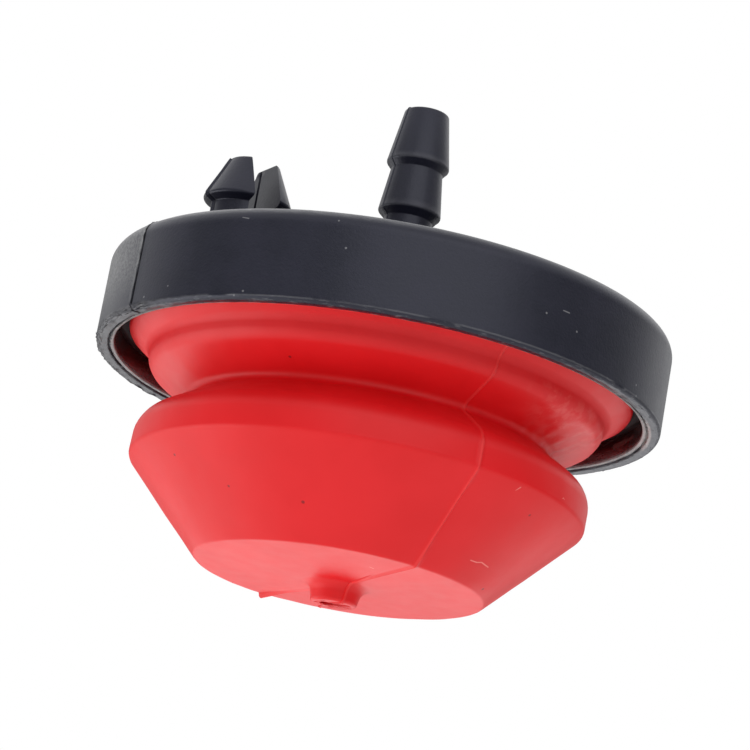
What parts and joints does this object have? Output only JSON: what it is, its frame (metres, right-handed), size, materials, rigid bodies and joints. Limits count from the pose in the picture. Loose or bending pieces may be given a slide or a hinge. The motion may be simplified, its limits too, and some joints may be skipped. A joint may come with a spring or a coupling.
{
  "type": "primer bulb",
  "caption": "Press-to-prime fuel bulb: soft hollow rubber bulb with a vented nub, held in a round plastic housing with a barbed hose nipple and split snap posts.",
  "frame": {"origin": "centre of the housing's flat back, the face that lies against the panel", "axes": "+Z out of the flat back along the hose nipple; the bulb hangs towards -Z; the two snap posts stand on a line through the axis, turned 28 degrees from +X towards +Y"},
  "size_m": [0.05, 0.05, 0.0456],
  "materials": {
    "black_plastic": "matte moulded, greyer along the worn edges",
    "red_rubber": "satin moulded rubber with parting lines"
  },
  "bodies": {
    "root": {"housing": "black_plastic", "bulb": "red_rubber"}
  },
  "joints": []
}
